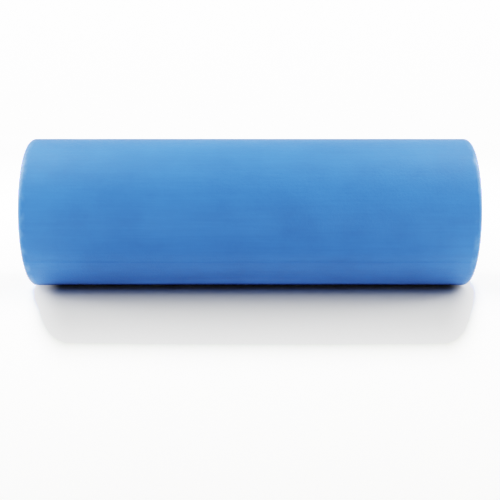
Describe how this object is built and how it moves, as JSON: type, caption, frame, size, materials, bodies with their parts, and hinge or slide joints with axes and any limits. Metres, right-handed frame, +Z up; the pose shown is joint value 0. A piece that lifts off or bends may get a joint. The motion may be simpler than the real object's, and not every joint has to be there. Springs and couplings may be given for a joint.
{
  "type": "foam roller",
  "caption": "Cylindrical foam roller lying on its side: a thick foam sleeve on a rigid hollow core tube, with a flanged collar and a removable push-in cap in each end.",
  "frame": {"origin": "on the floor, under the middle of the roller as it lies on its side", "axes": "+X along the roller's axis towards its right end, +Y away from the viewer, +Z up"},
  "size_m": [0.45, 0.1518, 0.1518],
  "materials": {
    "foam": "satin",
    "core_plastic": "matte",
    "trim_plastic": "satin",
    "cap_plastic": "satin",
    "seal_rubber": "matte"
  },
  "bodies": {
    "roller": {"core_tube": "core_plastic", "foam_sleeve": "foam", "left_collar": "trim_plastic", "right_collar": "trim_plastic"},
    "left_cap_unit": {"left_cap": "cap_plastic", "left_cap_seal": "seal_rubber"},
    "right_cap_unit": {"right_cap": "cap_plastic", "right_cap_seal": "seal_rubber"}
  },
  "joints": [
    {"name": "left_cap_pull", "type": "slide", "parent": "roller", "child": "left_cap_unit", "axis": [-1, 0, 0], "range_m": [0, 0.06]},
    {"name": "right_cap_pull", "type": "slide", "parent": "roller", "child": "right_cap_unit", "axis": [1, 0, 0], "range_m": [0, 0.06]}
  ]
}
